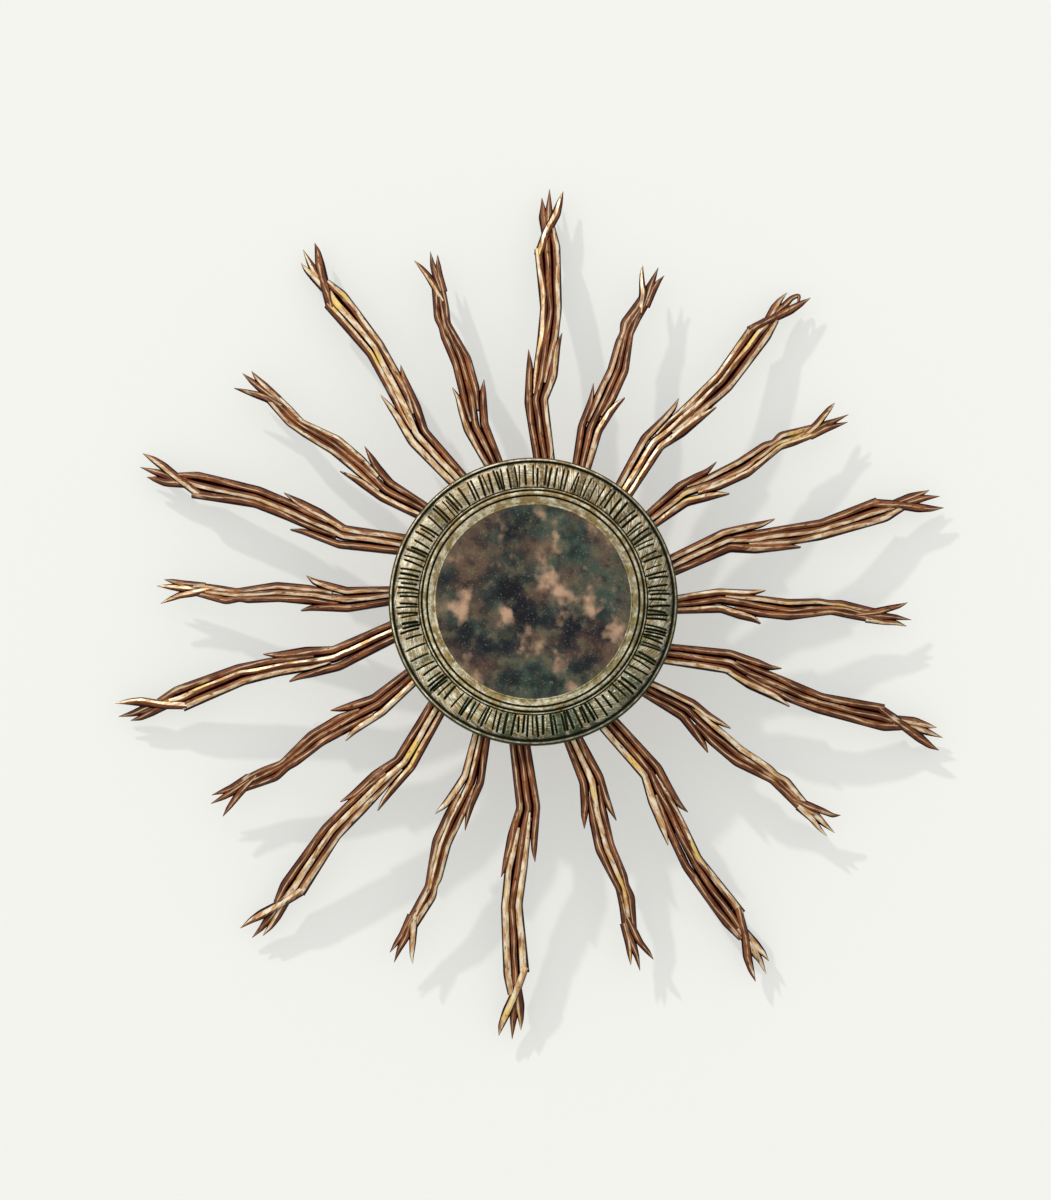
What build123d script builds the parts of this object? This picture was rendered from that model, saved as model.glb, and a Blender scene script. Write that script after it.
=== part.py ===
"""Carved sunburst mirror: a round glass in a carved wooden ring, with twenty carved rays round it.

Millimetres. +Z is up, the mirror faces -Y, and the wall is the plane Y = 0. The origin is on the wall,
straight behind the middle of the glass. Depth is measured from the wall, so a point at depth d is at
Y = -d. A ray is drawn pointing up, as (sideways, outward), and then turned clockwise to its place, as
seen from the front.
"""

import os
from math import cos, degrees, radians, sin

from build123d import *

# Depth, from the wall outward
drum_depth = 62.0
disc_thickness = 18.0
board_setback = 1.0
board_thickness = 3.0
glass_thickness = 3.0

# Carved ring: the widths of its mouldings, from the sight edge outward
sight_radius = 107.5
cove_width = 7.0
bead_width = 6.5
ledge_width = 8.5
torus_width = 25.3
rim_width = 4.2
lip_thickness = 2.6
cove_rise = 5.5
bead_rise = 3.5
torus_rise = 8.5
rim_height = 17.0
moulding_groove = 1.2
back_bevel = 1.5

# Glass, its rebate and the metal points that hold it
rebate_width = 7.5
glass_clearance = 0.5
point_count = 8
point_length = 9.0
point_width = 5.0
point_thickness = 0.8
point_grip = 4.5
fit_clearance = 0.1

# Disc that carries the rays, and the drum behind it
disc_inset = 9.0
drum_wall = 22.0
drum_bevel = 2.0
tongue_length = 38.0
root_gap = 3.0
tongue_thickness = 9.8
pocket_depth = 10.0
pocket_clearance = 0.15

# Every ray: its thickness at three places, and the grooves between its reeds
root_thickness = 16.0
neck_thickness = 12.0
tip_thickness = 1.6
groove_depth = 4.0
groove_width = 5.0

# Long rays: the lengths of their stretches, from the ring outward, their width and their depths
large_stem = 68.0
large_lower = 107.0
large_upper = 75.0
large_wrist = 21.0
large_prongs = 50.0
large_width = 48.0
large_neck_depth = 30.0
large_tip_depth = 15.0
large_bow = 8.0
large_tongue_side = 12.5
large_tongue_width = 20.0

# Short rays
small_stem = 47.0
small_lower = 123.0
small_upper = 46.0
small_prongs = 44.0
small_width = 40.0
small_neck_depth = 46.0
small_tip_depth = 26.0
small_bow = 5.0
small_tongue_side = 6.0
small_tongue_width = 16.0

# Hand-set rays, from the top clockwise: how far round each one is from its even place, and how far it
# leans about its root, both in degrees clockwise
ray_pitch = 36.0
large_strays = [-0.1, -1.8, -1.6, -1.7, -0.5, 0.6, 1.7, 1.7, 1.3, 0.3]
large_leans = [-0.6, 4.1, 1.9, -2.1, 1.9, -1.0, -0.2, -1.8, -3.5, 0.4]
small_strays = [-0.6, -1.7, -1.5, -1.3, -0.5, 0.7, 2.1, 0.6, 1.6, 0.1]
small_leans = [0.2, 5.5, 1.2, -0.6, -0.6, -0.2, -0.5, -0.1, -2.1, -1.5]

# Screws
screw_shank = 1.75
screw_head = 3.6
screw_cone = 2.2
screw_slot_width = 0.8
screw_slot_depth = 1.0
screw_clearance = 0.05
screw_run_out = 1.0
ray_screw_length = 15.0
ring_screw_length = 28.0
drum_screw_length = 40.0
drum_screw_count = 6

# Hanger: a folded strap and the ring that swings in it
wire_radius = 1.5
hinge_clearance = 0.08
strap_thickness = 1.2
strap_width = 16.0
strap_length = 18.0
strap_inset = 1.4
hinge_rise = 3.5
loop_width = 28.0
loop_straight = 9.0
loop_corner = 4.0
strap_screw_head = 3.0
strap_screw_dome = 1.2
strap_screw_shank = 1.4
strap_screw_length = 12.0
strap_screw_pitch = 8.0
strap_screw_edge = 4.5

# Places worked out from the sizes above
ring_back = drum_depth + disc_thickness
board_back = ring_back + board_setback
glass_back = board_back + board_thickness
glass_front = glass_back + glass_thickness
cove_radius = sight_radius + cove_width
bead_radius = cove_radius + bead_width
ledge_radius = bead_radius + ledge_width
torus_radius = ledge_radius + torus_width
rim_radius = torus_radius + rim_width
rebate_radius = sight_radius + rebate_width
glass_radius = rebate_radius - glass_clearance
disc_radius = rim_radius - disc_inset
tongue_inner = disc_radius - tongue_length
tongue_middle = disc_radius - tongue_length / 2
drum_radius = tongue_inner
drum_bore = drum_radius - drum_wall
root_radius = disc_radius + root_gap
root_front = ring_back - pocket_depth + tongue_thickness
hinge_height = drum_radius + hinge_rise
hinge_depth = strap_inset + strap_thickness + wire_radius + hinge_clearance

large_turns = [ray_pitch * n + stray for n, stray in enumerate(large_strays)]
small_turns = [ray_pitch * (n + 0.5) + stray for n, stray in enumerate(small_strays)]
large_rays = list(zip(large_turns, large_leans))
small_rays = list(zip(small_turns, small_leans))

os.makedirs("parts", exist_ok=True)


def finish(part, name):
    """Label a piece and write it as its own file."""
    part.label = name
    export_step(part, f"parts/{name}.step")


def place(turn, lean, radius, side):
    """Front-view place (x, z) of a point of a ray that leans about its root and is turned clockwise."""
    a = radians(lean)
    b = radians(turn)
    across = side * cos(a) + (radius - rim_radius) * sin(a)
    outward = rim_radius + (radius - rim_radius) * cos(a) - side * sin(a)
    return (outward * sin(b) + across * cos(b), outward * cos(b) - across * sin(b))


def forward_plane(depth, turn, radius, side=0.0, lean=0.0):
    """Plane at that place and depth which looks forward, out of the wall."""
    x, z = place(turn, lean, radius, side)
    return Plane(origin=(x, -depth, z), x_dir=(1, 0, 0), z_dir=(0, -1, 0))


def backward_plane(depth, turn, radius):
    """Plane at that place and depth which looks back, at the wall."""
    x, z = place(turn, 0.0, radius, 0.0)
    return Plane(origin=(x, -depth, z), x_dir=(1, 0, 0), z_dir=(0, 1, 0))


def wood_screw(length):
    """Countersunk wood screw with its head's face at height 0, pointing up its own axis."""
    with BuildPart() as screw:
        with BuildSketch(Plane.XZ):
            with BuildLine():
                Polyline(
                    (0, 0),
                    (screw_head, 0),
                    (screw_shank, screw_cone),
                    (screw_shank, length - 2 * screw_shank),
                    (0, length),
                    close=True,
                )
            make_face()
        revolve(axis=Axis.Z)
        Box(
            4 * screw_head,
            screw_slot_width,
            2 * screw_slot_depth,
            mode=Mode.SUBTRACT,
        )
    return screw.part


def screw_hole(length):
    """Cutter for the same screw, with its clearance all round."""
    with BuildPart() as hole:
        with BuildSketch(Plane.XZ):
            with BuildLine():
                Polyline(
                    (0, -screw_run_out),
                    (screw_head + screw_clearance, -screw_run_out),
                    (screw_head + screw_clearance, 0),
                    (screw_shank + screw_clearance, screw_cone),
                    (screw_shank + screw_clearance, length + screw_clearance),
                    (0, length + screw_clearance),
                    close=True,
                )
            make_face()
        revolve(axis=Axis.Z)
    return hole.part


# Where the screws go: in each tongue, between the tongues, and into the drum's wall
ray_screw_places = [
    forward_plane(drum_depth, turn, tongue_middle, large_tongue_side, lean) for turn, lean in large_rays
]
ray_screw_places += [
    forward_plane(drum_depth, turn, tongue_middle, small_tongue_side, lean) for turn, lean in small_rays
]
between_tongues = degrees((large_tongue_side + small_tongue_side) / 2 / tongue_middle)
ring_screw_places = [
    forward_plane(drum_depth, (small + large) / 2 + between_tongues, tongue_middle)
    for small, large in zip(small_turns, large_turns[1:] + [large_turns[0] + 360.0])
]
drum_screw_places = [
    backward_plane(ring_back, n * 360.0 / drum_screw_count, drum_bore + drum_wall / 2)
    for n in range(drum_screw_count)
]
point_turns = [(n + 0.5) * 360.0 / point_count for n in range(point_count)]


def at(planes):
    """Locations of a list of planes."""
    return Locations(*[plane.location for plane in planes])


# Carved ring: moulding turned about the mirror's axis
lip_front = glass_front + lip_thickness
cove_front = lip_front + cove_rise
rim_front = ring_back + rim_height
half_groove = moulding_groove / 2
rim_curve = rim_width * cos(radians(45))
with BuildPart() as carved_ring:
    with BuildSketch(Plane.XY):
        with BuildLine():
            Polyline(
                (rim_radius, -(rim_front - rim_width)),
                (rim_radius, -(ring_back + back_bevel)),
                (rim_radius - back_bevel, -ring_back),
                (rebate_radius, -ring_back),
                (rebate_radius, -glass_front),
                (sight_radius, -glass_front),
                (sight_radius, -lip_front),
                (cove_radius - half_groove, -cove_front),
                (cove_radius, -(cove_front - moulding_groove)),
                (cove_radius + half_groove, -cove_front),
            )
            ThreePointArc(
                (cove_radius + half_groove, -cove_front),
                ((cove_radius + bead_radius) / 2, -(cove_front + bead_rise)),
                (bead_radius - half_groove, -cove_front),
            )
            Polyline(
                (bead_radius - half_groove, -cove_front),
                (bead_radius, -(cove_front - moulding_groove)),
                (bead_radius + half_groove, -cove_front),
                (ledge_radius, -rim_front),
            )
            ThreePointArc(
                (ledge_radius, -rim_front),
                ((ledge_radius + torus_radius) / 2, -(rim_front + torus_rise)),
                (torus_radius, -rim_front),
            )
            ThreePointArc(
                (torus_radius, -rim_front),
                (torus_radius + rim_curve, -(rim_front - rim_width + rim_curve)),
                (rim_radius, -(rim_front - rim_width)),
            )
        make_face()
    revolve(axis=Axis.Y)
    for turn in point_turns:
        with BuildSketch(forward_plane(board_back - point_thickness - fit_clearance, turn, rebate_radius)):
            Rectangle(
                point_width + 2 * fit_clearance,
                2 * (point_grip + fit_clearance),
                rotation=-turn,
            )
        extrude(amount=point_thickness + 2 * fit_clearance, mode=Mode.SUBTRACT)
    with at(ring_screw_places):
        add(screw_hole(ring_screw_length), mode=Mode.SUBTRACT)
finish(carved_ring.part, "carved_ring")

# Glass: a flat silvered plate behind the sight edge
with BuildPart() as mirror_glass:
    with BuildSketch(Plane.XZ.offset(glass_back)):
        Circle(glass_radius)
    extrude(amount=glass_thickness)
finish(mirror_glass.part, "mirror_glass")

# Backing board, which presses the glass against the lip
with BuildPart() as backing_board:
    with BuildSketch(Plane.XZ.offset(board_back)):
        Circle(glass_radius)
    extrude(amount=board_thickness)
finish(backing_board.part, "backing_board")

# Glazing points, pushed into the wall of the rebate behind the board
with BuildPart() as glazing_points:
    for turn in point_turns:
        inward = point_length / 2 - point_grip
        with BuildSketch(forward_plane(board_back - point_thickness, turn, rebate_radius - inward)):
            Rectangle(point_width, point_length, rotation=-turn)
        extrude(amount=point_thickness)
finish(glazing_points.part, "glazing_points")

# Disc behind the ring, with a pocket for each ray's tongue
with BuildPart() as ray_disc:
    with BuildSketch(Plane.XZ.offset(drum_depth)):
        Circle(disc_radius)
        Circle(drum_bore, mode=Mode.SUBTRACT)
    extrude(amount=disc_thickness)
    pockets = [(ray, large_tongue_side, large_tongue_width) for ray in large_rays]
    pockets += [(ray, small_tongue_side, small_tongue_width) for ray in small_rays]
    for (turn, lean), side, width in pockets:
        middle = (tongue_inner + root_radius) / 2
        with BuildSketch(forward_plane(ring_back - pocket_depth, turn, middle, side, lean)):
            Rectangle(
                width + 2 * pocket_clearance,
                root_radius - tongue_inner,
                rotation=-(turn + lean),
            )
        extrude(amount=pocket_depth, mode=Mode.SUBTRACT)
    with at(ray_screw_places):
        add(screw_hole(ray_screw_length), mode=Mode.SUBTRACT)
    with at(ring_screw_places):
        add(screw_hole(ring_screw_length), mode=Mode.SUBTRACT)
    with at(drum_screw_places):
        add(screw_hole(drum_screw_length), mode=Mode.SUBTRACT)
finish(ray_disc.part, "ray_disc")

# Drum that holds the disc off the wall, turned from a ring of wood
strap_bottom = drum_radius - strap_length
strap_screw_places = [
    forward_plane(strap_inset, 0.0, strap_bottom + strap_screw_edge + n * strap_screw_pitch)
    for n in range(2)
]
with BuildPart() as standoff_drum:
    with BuildSketch(Plane.XY):
        with BuildLine():
            Polyline(
                (drum_bore, 0),
                (drum_radius - drum_bevel, 0),
                (drum_radius, -drum_bevel),
                (drum_radius, -drum_depth),
                (drum_bore, -drum_depth),
                close=True,
            )
        make_face()
    revolve(axis=Axis.Y)
    with BuildSketch(Plane.XZ):
        with Locations((0, drum_radius)):
            Rectangle(
                strap_width + 2 * pocket_clearance,
                2 * (strap_length + pocket_clearance),
            )
    extrude(amount=strap_inset + strap_thickness, mode=Mode.SUBTRACT)
    with at(drum_screw_places):
        add(screw_hole(drum_screw_length), mode=Mode.SUBTRACT)
    with at(strap_screw_places):
        Cylinder(
            strap_screw_shank + screw_clearance,
            2 * (strap_screw_length + screw_clearance),
            mode=Mode.SUBTRACT,
        )
finish(standoff_drum.part, "standoff_drum")


def spots(marks, stations, width):
    """Points (sideways, outward) of marks that count in widths across and in stations along."""
    points = []
    for across, along in marks:
        n = min(int(along), len(stations) - 2)
        stretch = stations[n + 1] - stations[n]
        points.append((across * width, stations[n] + (along - n) * stretch))
    return points


def carve_ray(outline, grooves, neck, neck_depth, tip, tip_depth, bow, tongue_side, tongue_width):
    """One ray pointing up: its front outline, bent and tapered in depth, grooved, with its tongue."""
    half_neck = neck_thickness / 2
    half_tip = tip_thickness / 2
    root_back = root_front - root_thickness

    def front(outward):
        """Depth of the ray's front at a distance from the mirror's axis."""
        if outward > neck:
            t = (outward - neck) / (tip - neck)
            return neck_depth + half_neck + t * (tip_depth + half_tip - neck_depth - half_neck)
        t = (outward - root_radius) / (neck - root_radius)
        return root_front + t * (neck_depth + half_neck - root_front) + 4 * bow * t * (1 - t)

    with BuildPart() as ray:
        with BuildSketch(Plane.XZ):
            with BuildLine():
                Polyline(*outline, close=True)
            make_face()
        extrude(amount=ring_back)
        with BuildSketch(Plane.YZ):
            with BuildLine():
                middle = (root_radius + neck) / 2
                thickness = (root_thickness + neck_thickness) / 2
                ThreePointArc(
                    (-root_front, root_radius),
                    (-front(middle), middle),
                    (-(neck_depth + half_neck), neck),
                )
                Polyline(
                    (-(neck_depth + half_neck), neck),
                    (-(tip_depth + half_tip), tip),
                    (-(tip_depth - half_tip), tip),
                    (-(neck_depth - half_neck), neck),
                )
                ThreePointArc(
                    (-(neck_depth - half_neck), neck),
                    (-(front(middle) - thickness), middle),
                    (-root_back, root_radius),
                )
                Line((-root_back, root_radius), (-root_front, root_radius))
            make_face()
        extrude(amount=tip, both=True, mode=Mode.INTERSECT)
        for groove in grooves:
            for (side, outward), (next_side, next_outward) in zip(groove, groove[1:]):
                start = Vector(side, -front(outward), outward)
                run = Vector(next_side, -front(next_outward), next_outward) - start
                with BuildSketch(Plane(origin=start, x_dir=(1, 0, 0), z_dir=run)):
                    with BuildLine():
                        Polyline(
                            (-groove_width, -groove_depth),
                            (groove_width, -groove_depth),
                            (0, groove_depth),
                            close=True,
                        )
                    make_face()
                extrude(amount=run.length, mode=Mode.SUBTRACT)
        tongue_end = tongue_inner + pocket_clearance
        with BuildSketch(Plane.XZ.offset(ring_back - pocket_depth)):
            with Locations((tongue_side, (tongue_end + root_radius) / 2)):
                Rectangle(tongue_width, root_radius - tongue_end)
        extrude(amount=tongue_thickness)
        with at([forward_plane(drum_depth, 0.0, tongue_middle, tongue_side)]):
            add(screw_hole(ray_screw_length), mode=Mode.SUBTRACT)
    return ray.part


# Long ray: stem, kink with a leaf spur each side, body, shoulder, wrist and three prongs. Its marks count
# in widths across, and in stations along: 0 root, 1 kink, 2 bend, 3 shoulder, 4 wrist, 5 tip
kink = rim_radius + large_stem
bend = kink + large_lower
shoulder = bend + large_upper
wrist = shoulder + large_wrist
large_tip = wrist + large_prongs
large_stations = [root_radius, kink, bend, shoulder, wrist, large_tip]
large_outline = [
    (0.058, 0.0),
    (-0.188, 0.973),
    (-0.067, 1.523),
    (0.021, 1.467),
    (0.223, 2.027),
    (0.098, 2.973),
    (0.292, 3.762),
    (0.210, 4.360),
    (0.294, 4.740),
    (0.383, 4.560),
    (0.500, 5.0),
    (0.533, 4.420),
    (0.817, 4.940),
    (0.719, 4.480),
    (0.590, 4.080),
    (0.713, 3.143),
    (0.727, 1.981),
    (0.608, 1.626),
    (0.729, 1.701),
    (0.577, 1.271),
    (0.356, 1.019),
    (0.513, 0.0),
]
large_grooves = [
    [(0.208, 0.0), (0.0, 1.0), (0.042, 1.262), (0.021, 1.467)],
    [(0.354, 0.0), (0.183, 1.0), (0.333, 1.271), (0.583, 1.617)],
    [(0.058, 1.093), (0.146, 1.271), (0.396, 2.0), (0.312, 3.0), (0.354, 4.0)],
    [(0.333, 1.374), (0.552, 2.0), (0.510, 3.0), (0.479, 4.0)],
]
large_master = carve_ray(
    spots(large_outline, large_stations, large_width),
    [spots(groove, large_stations, large_width) for groove in large_grooves],
    shoulder,
    large_neck_depth,
    large_tip,
    large_tip_depth,
    large_bow,
    large_tongue_side,
    large_tongue_width,
)
root_pivot = Axis((0, 0, rim_radius), (0, 1, 0))
for number, (turn, lean) in enumerate(large_rays, start=1):
    with BuildPart() as large_ray:
        add(large_master.rotate(root_pivot, lean).rotate(Axis.Y, turn))
    finish(large_ray.part, f"large_ray_{number:02d}")

# Short ray: stem, kink with its spurs, body, pinched waist, upper part and three prongs. Its stations are
# 0 root, 1 kink, 2 waist, 3 fork, 4 tip
kink = rim_radius + small_stem
waist = kink + small_lower
fork = waist + small_upper
small_tip = fork + small_prongs
small_stations = [root_radius, kink, waist, fork, small_tip]
small_outline = [
    (-0.072, 0.0),
    (-0.310, 1.0),
    (-0.242, 1.415),
    (-0.105, 1.374),
    (0.007, 1.593),
    (-0.042, 1.894),
    (0.035, 1.984),
    (-0.048, 2.239),
    (0.230, 3.0),
    (0.015, 3.864),
    (0.297, 3.5),
    (0.495, 4.0),
    (0.565, 3.636),
    (0.693, 3.818),
    (0.575, 2.935),
    (0.345, 2.043),
    (0.550, 1.626),
    (0.483, 1.301),
    (0.690, 1.366),
    (0.378, 1.0),
    (0.415, 0.0),
]
small_grooves = [
    [(0.110, 0.0), (-0.082, 1.0), (-0.050, 1.203), (-0.100, 1.366)],
    [(0.260, 0.0), (0.150, 1.0), (0.300, 1.187), (0.470, 1.301)],
    [(-0.025, 1.098), (0.100, 1.309), (0.200, 1.610), (0.130, 2.0), (0.163, 2.304)],
    [(0.263, 1.325), (0.358, 1.626), (0.240, 2.0), (0.388, 3.0), (0.463, 3.455)],
]
small_master = carve_ray(
    spots(small_outline, small_stations, small_width),
    [spots(groove, small_stations, small_width) for groove in small_grooves],
    waist,
    small_neck_depth,
    small_tip,
    small_tip_depth,
    small_bow,
    small_tongue_side,
    small_tongue_width,
)
for number, (turn, lean) in enumerate(small_rays, start=1):
    with BuildPart() as small_ray:
        add(small_master.rotate(root_pivot, lean).rotate(Axis.Y, turn))
    finish(small_ray.part, f"small_ray_{number:02d}")

# Screws: one for each ray, ten for the carved ring and six for the drum
with BuildPart() as ray_screws:
    with at(ray_screw_places):
        add(wood_screw(ray_screw_length))
finish(ray_screws.part, "ray_screws")

with BuildPart() as ring_screws:
    with at(ring_screw_places):
        add(wood_screw(ring_screw_length))
finish(ring_screws.part, "ring_screws")

with BuildPart() as drum_screws:
    with at(drum_screw_places):
        add(wood_screw(drum_screw_length))
finish(drum_screws.part, "drum_screws")

# Hanger strap: a brass strip folded round the ring's bar, let into the back edge of the drum
barrel_inner = wire_radius + hinge_clearance
with BuildPart() as hanger_strap:
    with BuildSketch(Plane.YZ):
        with Locations((-(strap_inset + strap_thickness / 2), (strap_bottom + hinge_height) / 2)):
            Rectangle(strap_thickness, hinge_height - strap_bottom)
        with Locations((-hinge_depth, hinge_height)):
            Circle(barrel_inner + strap_thickness)
            Circle(barrel_inner, mode=Mode.SUBTRACT)
    extrude(amount=strap_width / 2, both=True)
    with at(strap_screw_places):
        Cylinder(
            strap_screw_shank + screw_clearance,
            4 * strap_thickness,
            mode=Mode.SUBTRACT,
        )
finish(hanger_strap.part, "hanger_strap")

# Its two screws, with domed heads that stay inside the drum's back face
with BuildPart() as strap_screw:
    with BuildSketch(Plane.XZ):
        with BuildLine():
            Polyline(
                (0, -strap_screw_dome),
                (0, strap_screw_length),
                (strap_screw_shank, strap_screw_length - 2 * strap_screw_shank),
                (strap_screw_shank, 0),
                (strap_screw_head, 0),
                (strap_screw_head, -strap_screw_dome / 2),
                (strap_screw_head - strap_screw_dome / 2, -strap_screw_dome),
                close=True,
            )
        make_face()
    revolve(axis=Axis.Z)
with BuildPart() as hanger_screws:
    with at(strap_screw_places):
        add(strap_screw.part)
finish(hanger_screws.part, "hanger_screws")

# Ring that hangs on the wall hook: a straight bar in the strap and a round bow above it
half_loop = loop_width / 2
corner_out = half_loop - loop_corner * (1 - sin(radians(45)))
corner_up = hinge_height + loop_corner * (1 - cos(radians(45)))
bow_start = hinge_height + loop_straight
with BuildPart() as hanging_ring:
    with BuildLine(Plane.XZ.offset(hinge_depth)):
        Line((0, hinge_height), (half_loop - loop_corner, hinge_height))
        ThreePointArc(
            (half_loop - loop_corner, hinge_height),
            (corner_out, corner_up),
            (half_loop, hinge_height + loop_corner),
        )
        Line((half_loop, hinge_height + loop_corner), (half_loop, bow_start))
        ThreePointArc((half_loop, bow_start), (0, bow_start + half_loop), (-half_loop, bow_start))
        Line((-half_loop, bow_start), (-half_loop, hinge_height + loop_corner))
        ThreePointArc(
            (-half_loop, hinge_height + loop_corner),
            (-corner_out, corner_up),
            (-(half_loop - loop_corner), hinge_height),
        )
        Line((-(half_loop - loop_corner), hinge_height), (0, hinge_height))
    with BuildSketch(Plane(origin=(0, -hinge_depth, hinge_height), z_dir=(1, 0, 0))):
        Circle(wire_radius)
    sweep()
finish(hanging_ring.part, "hanging_ring")
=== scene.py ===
"""Looks of a carved sunburst mirror, laid over its solids.

Sizes are in millimetres until a mesh is made. Depth is measured from the wall, so a point at depth d is at
y = -d. A ray is worked out pointing up, as (sideways, outward), and then turned clockwise to its place, as
seen from the front.
"""

import random
from math import ceil, cos, hypot, pi, radians, sin

import bmesh
import bpy
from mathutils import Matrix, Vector, noise


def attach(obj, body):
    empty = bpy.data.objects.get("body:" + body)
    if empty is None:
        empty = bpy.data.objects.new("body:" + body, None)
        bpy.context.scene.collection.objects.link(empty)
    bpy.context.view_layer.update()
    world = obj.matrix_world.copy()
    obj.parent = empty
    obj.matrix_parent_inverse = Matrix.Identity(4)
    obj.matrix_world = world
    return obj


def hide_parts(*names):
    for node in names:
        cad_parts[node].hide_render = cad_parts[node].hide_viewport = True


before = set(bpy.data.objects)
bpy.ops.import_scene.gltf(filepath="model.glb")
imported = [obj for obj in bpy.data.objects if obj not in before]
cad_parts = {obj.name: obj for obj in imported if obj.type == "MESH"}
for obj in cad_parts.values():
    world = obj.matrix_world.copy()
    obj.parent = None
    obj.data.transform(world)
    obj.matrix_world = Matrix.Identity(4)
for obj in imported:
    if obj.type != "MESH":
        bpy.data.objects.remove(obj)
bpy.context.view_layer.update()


# Carved ring: a band of turned lime wood with a cove, a bead, a fillet and a swelling band, which the carver
# cut across with a gouge. It is painted green over pale gesso, glazed dark in the cuts and rubbed back on the
# crests, and screwed to the disc from behind. Its colour also holds painted shade in the cuts and grooves,
# on the band's outer slope, on the rim's outer wall and on the lower right, and painted highlights beside
# the cuts, in the cove and on the rim.



def paint(red, green, blue):
    """A colour as it is seen, in parts of 255, as the shader takes it."""
    parts = [value / 255 for value in (red, green, blue)]
    return (*[p / 12.92 if p < 0.04045 else ((p + 0.055) / 1.055) ** 2.4 for p in parts], 1.0)


class Tone:
    """A value or colour in a finish. Sums on it add their Math nodes."""

    def __init__(self, finish, socket):
        self.finish = finish
        self.socket = socket

    def sum(self, operation, *values):
        return self.finish.node("Math", {"operation": operation}, dict(enumerate(values)))

    def __add__(self, other):
        return self.sum("ADD", self, other)

    __radd__ = __add__

    def __sub__(self, other):
        return self.sum("SUBTRACT", self, other)

    def __rsub__(self, other):
        return self.sum("SUBTRACT", other, self)

    def __mul__(self, other):
        return self.sum("MULTIPLY", self, other)

    __rmul__ = __mul__


class Finish:
    """A surface finish, laid on as shader nodes."""

    def __init__(self, material):
        self.material = material
        self.material.use_nodes = True
        self.tree = self.material.node_tree
        self.tree.nodes.clear()

    def node(self, kind, settings, values, output=0):
        """Adds a node: its settings first, and then the values or links of its sockets."""
        node = self.tree.nodes.new("ShaderNode" + kind)
        for name, setting in settings.items():
            setattr(node, name, setting)
        for name, value in values.items():
            if isinstance(value, Tone):
                self.tree.links.new(value.socket, node.inputs[name])
            else:
                node.inputs[name].default_value = value
        return Tone(self, node.outputs[output]) if node.outputs else None

    def place(self):
        return self.node("TexCoord", {}, {}, "Object")

    def mark(self, name, output="Fac"):
        return self.node("Attribute", {"attribute_name": name}, {}, output)

    def stretch(self, place, across, depth, up):
        return self.node("VectorMath", {"operation": "MULTIPLY"}, {0: place, 1: (across, depth, up)})

    def cloud(self, place, size, detail=3.0):
        """Soft noise from 0 to 1 whose spots are about size millimetres wide."""
        return self.node("TexNoise", {}, {"Vector": place, "Scale": 1000 / size, "Detail": detail})

    def between(self, value, low, high):
        """0 up to low, 1 from high, and a soft step between them."""
        ends = {"Value": value, "From Min": low, "From Max": high}
        return self.node("MapRange", {"interpolation_type": "SMOOTHSTEP"}, ends)

    def mix(self, share, first, second):
        return self.node("Mix", {"data_type": "RGBA"}, {0: share, 6: first, 7: second}, 2)

    def relief(self, height, depth):
        """Bump whose full height is depth millimetres."""
        return self.node("Bump", {}, {"Height": height, "Distance": depth / 1000, "Strength": 1.0})

    def lay(self, values):
        surface = self.node("BsdfPrincipled", {}, values)
        self.node("OutputMaterial", {}, {"Surface": surface})
        return self.material


def carve(name, points, faces, marks, material, edge):
    """A piece from points in millimetres. Edges sharper than edge degrees stay crisp."""
    mesh = bpy.data.meshes.new(name)
    mesh.from_pydata([(x / 1000, y / 1000, z / 1000) for x, y, z in points], [], faces)
    for mark, values in marks.items():
        if isinstance(values[0], tuple):
            flat = [part for value in values for part in value]
            mesh.attributes.new(mark, "FLOAT_VECTOR", "POINT").data.foreach_set("vector", flat)
        else:
            mesh.attributes.new(mark, "FLOAT", "POINT").data.foreach_set("value", values)
    skin = bmesh.new()
    skin.from_mesh(mesh)
    bmesh.ops.recalc_face_normals(skin, faces=skin.faces)
    skin.to_mesh(mesh)
    skin.free()
    mesh.polygons.foreach_set("use_smooth", [True] * len(mesh.polygons))
    mesh.set_sharp_from_angle(angle=radians(edge))
    mesh.materials.append(material)
    piece = bpy.data.objects.new(name, mesh)
    bpy.context.collection.objects.link(piece)
    return piece


def swell(start, end, rise, count):
    """Points of a rounded moulding from start to end of the profile, standing out by rise."""
    points = []
    for n in range(count + 1):
        t = n / count
        depth = start[1] + t * (end[1] - start[1]) + rise * 4 * t * (1 - t)
        points.append((start[0] + t * (end[0] - start[0]), depth))
    return points


ring_profile = [(107.5, 87.0), (107.5, 89.2), (107.9, 90.1), (108.7, 90.4), (109.3, 89.9)]
cove_start = len(ring_profile)
ring_profile += swell((109.6, 89.6), (115.4, 95.6), 0.6, 8)
first_groove = len(ring_profile)
ring_profile += [(116.0, 93.2), (116.8, 93.2)]
ring_profile += swell((117.2, 95.0), (121.8, 95.8), 2.4, 8)
second_groove = len(ring_profile)
ring_profile += [(122.3, 93.8), (123.0, 93.8)]
ring_profile += swell((123.4, 95.6), (125.1, 96.2), 0.9, 4)
third_groove = len(ring_profile)
ring_profile += [(125.5, 94.6), (126.0, 94.6)]
band_start = len(ring_profile)
ring_profile += swell((126.4, 96.8), (152.9, 97.8), 7.5, 28)
last_groove = len(ring_profile)
ring_profile += [(153.4, 95.4), (154.1, 95.4)]
rim_start = len(ring_profile)
ring_profile += swell((154.6, 97.4), (158.3, 95.8), 0.6, 5)
ring_profile += [(158.9, 94.8), (159.0, 93.0), (159.0, 87.0), (159.0, 81.5), (157.5, 80.0)]
ring_profile += [(136.0, 80.0), (115.0, 80.0), (115.0, 87.0)]
grooves = {first_groove, second_groove, third_groove, last_groove}
grooves |= {row + 1 for row in grooves}
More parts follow.
